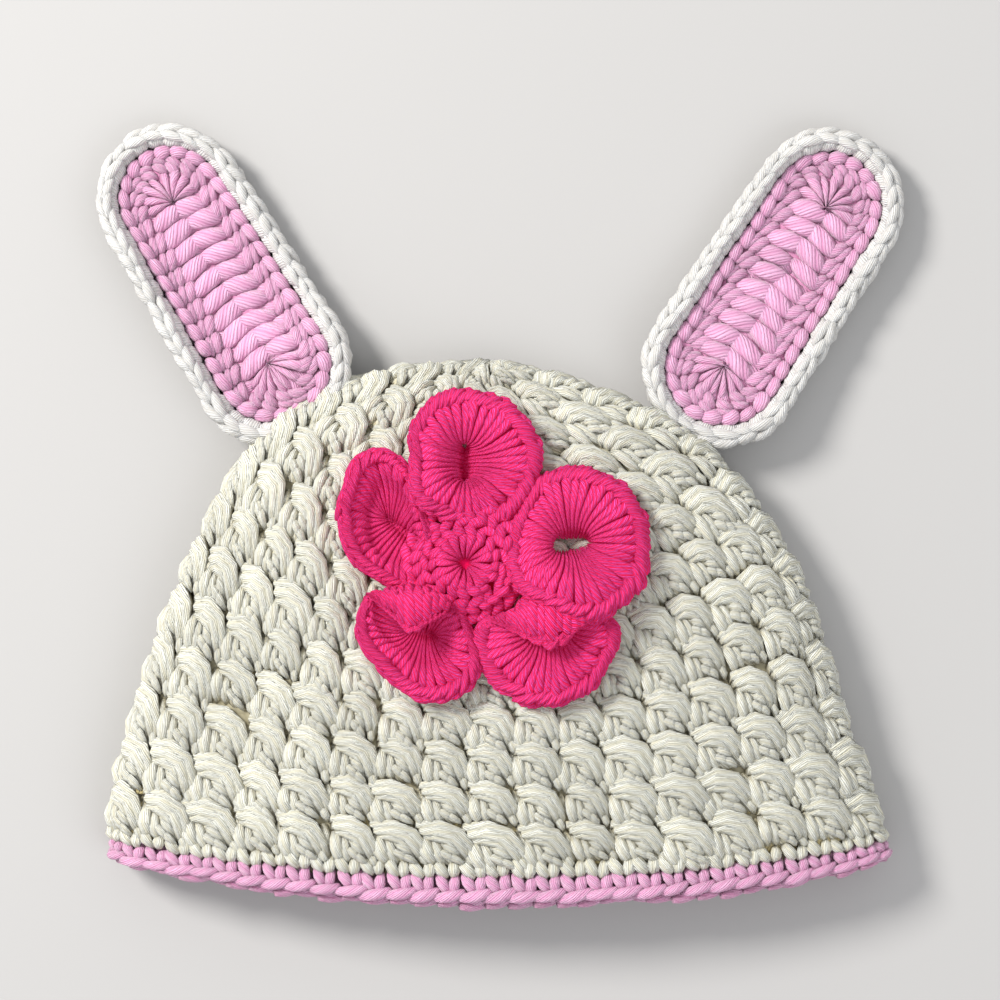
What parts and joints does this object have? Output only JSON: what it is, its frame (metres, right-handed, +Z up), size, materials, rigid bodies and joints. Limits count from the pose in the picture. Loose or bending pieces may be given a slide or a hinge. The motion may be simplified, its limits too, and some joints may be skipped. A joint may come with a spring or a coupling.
{
  "type": "baby hat with ears",
  "caption": "Crocheted baby hat lying flat on its back, hollow and open at the rim, with long lined ears at the top and a cupped flower sewn on the front.",
  "frame": {"origin": "on the surface that the hat lies on, under the middle of the whole hat's box", "axes": "+Z up, out of the hat's front panel; +Y from the rim towards the ear tips; +X to the right for someone who looks down at the front"},
  "size_m": [0.2068, 0.1972, 0.0376],
  "materials": {
    "cream_yarn": "crocheted cream yarn, slightly satiny plies",
    "white_yarn": "crocheted white yarn, soft matt",
    "soft_pink_yarn": "crocheted pale pink cotton yarn, matt",
    "hot_pink_yarn": "crocheted fine bright pink cotton yarn, slight sheen"
  },
  "bodies": {
    "root": {"hat_body": "cream_yarn", "rim_edging": "soft_pink_yarn", "left_ear_back": "white_yarn", "left_ear_lining": "soft_pink_yarn", "right_ear_back": "white_yarn", "right_ear_lining": "soft_pink_yarn", "flower_centre": "hot_pink_yarn", "petal_top": "hot_pink_yarn", "petal_right": "hot_pink_yarn", "petal_lower_right": "hot_pink_yarn", "petal_lower_left": "hot_pink_yarn", "petal_left": "hot_pink_yarn"}
  },
  "joints": []
}
